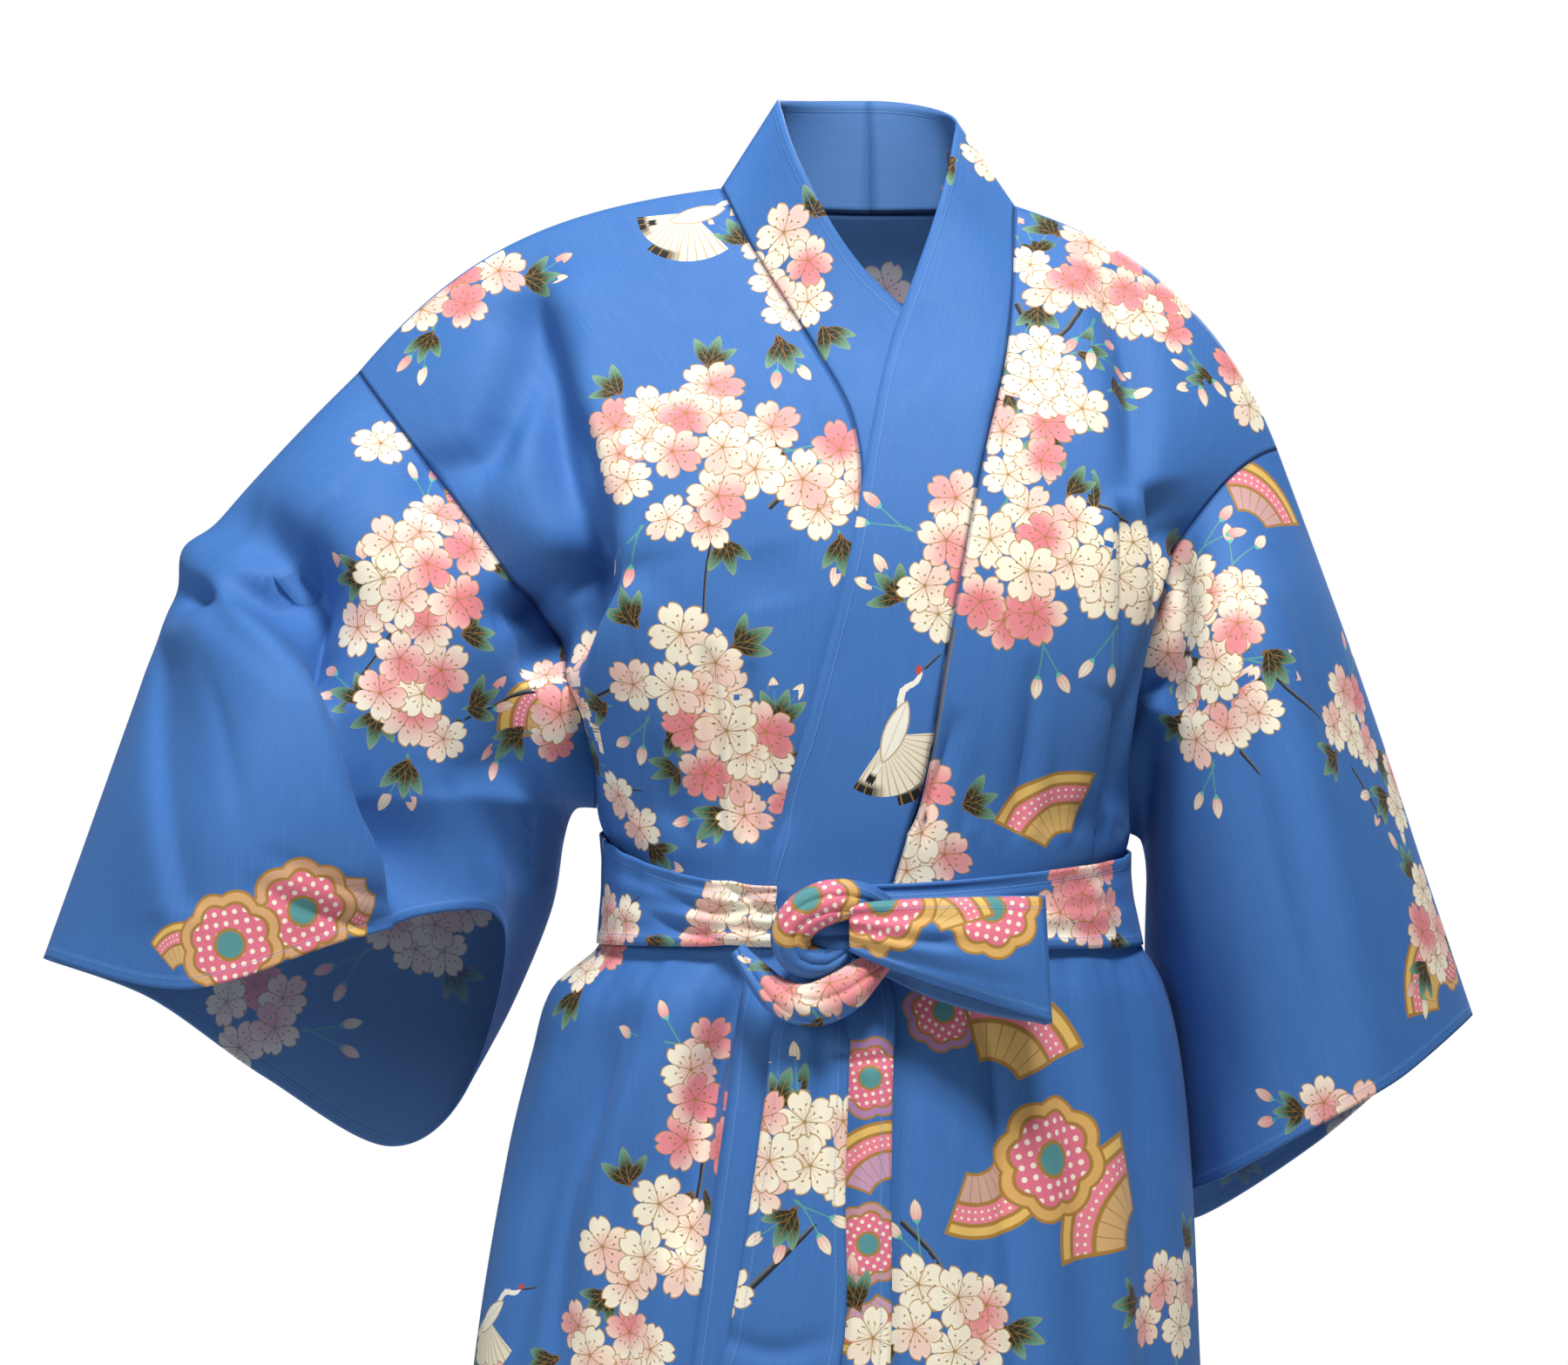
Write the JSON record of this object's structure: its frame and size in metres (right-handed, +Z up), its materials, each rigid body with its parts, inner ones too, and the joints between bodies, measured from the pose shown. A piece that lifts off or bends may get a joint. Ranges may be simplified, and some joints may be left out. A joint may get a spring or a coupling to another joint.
{
  "type": "happi coat with tie belt, worn form",
  "caption": "Short kimono-style cotton coat in the hollow form it has when worn, wrapped left over right, with wide sleeves and a tied belt.",
  "frame": {"origin": "middle of the neck opening at the level of the shoulders, where the wearer holds the coat up", "axes": "+Z up, towards the collar; -Y to the front of the coat; +X to the wearer's left"},
  "size_m": [0.8788, 0.3185, 0.9617],
  "materials": {
    "cloth": "matte cotton, printed with cherry blossom",
    "band": "matte cotton in two layers, same print"
  },
  "bodies": {
    "root": {"back": "cloth", "front_right": "cloth", "front_left": "cloth", "sleeve_right": "cloth", "sleeve_left": "cloth", "collar_right": "band", "collar_left": "band", "belt_wrap": "band", "belt_knot": "band", "belt_knot_fold": "band", "belt_loop": "band", "belt_tail_front": "band", "belt_tail_back": "band"}
  },
  "joints": []
}
